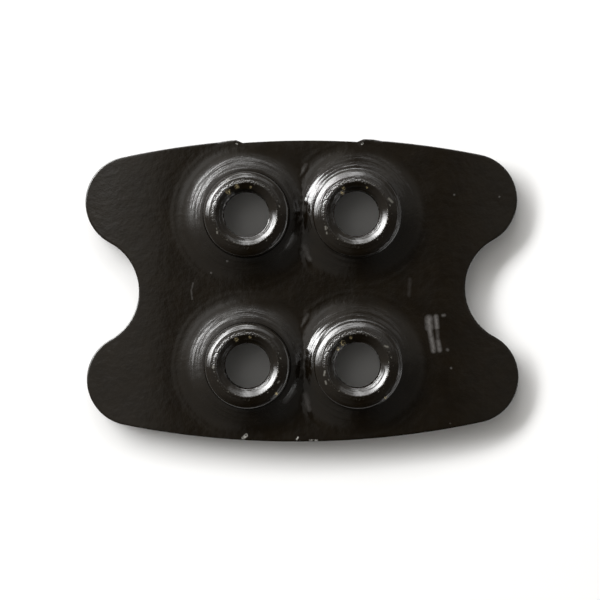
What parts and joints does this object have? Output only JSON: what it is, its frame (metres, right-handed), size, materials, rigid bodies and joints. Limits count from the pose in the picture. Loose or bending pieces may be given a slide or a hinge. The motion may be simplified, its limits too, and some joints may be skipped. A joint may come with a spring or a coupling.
{
  "type": "threaded backing plate for a bicycle shoe cleat",
  "caption": "Glossy black pressed steel plate with a lobed outline, notched ends and raised M5 threaded bosses; sits inside a cycling shoe's sole and takes the cleat bolts.",
  "frame": {"origin": "under the middle of the hole pattern, at the height of the lower edges of the bent-down wing tips that the plate stands on", "axes": "+X along the shoe (the plate's longest side), +Y across it (the 14 mm bolt pitch), +Z the way the bosses point"},
  "size_m": [0.0402, 0.0281, 0.0049],
  "materials": {
    "plate_black_coat": "glossy black coating on pressed steel, fine orange-peel texture, light scuffs",
    "bush_black_coat": "glossy black coating on turned steel, worn to bare metal at a few spots on the thread"
  },
  "bodies": {
    "root": {"drawn_plate": "plate_black_coat", "threaded_bush_upper_left": "bush_black_coat", "threaded_bush_upper_right": "bush_black_coat", "threaded_bush_lower_left": "bush_black_coat", "threaded_bush_lower_right": "bush_black_coat"}
  },
  "joints": []
}
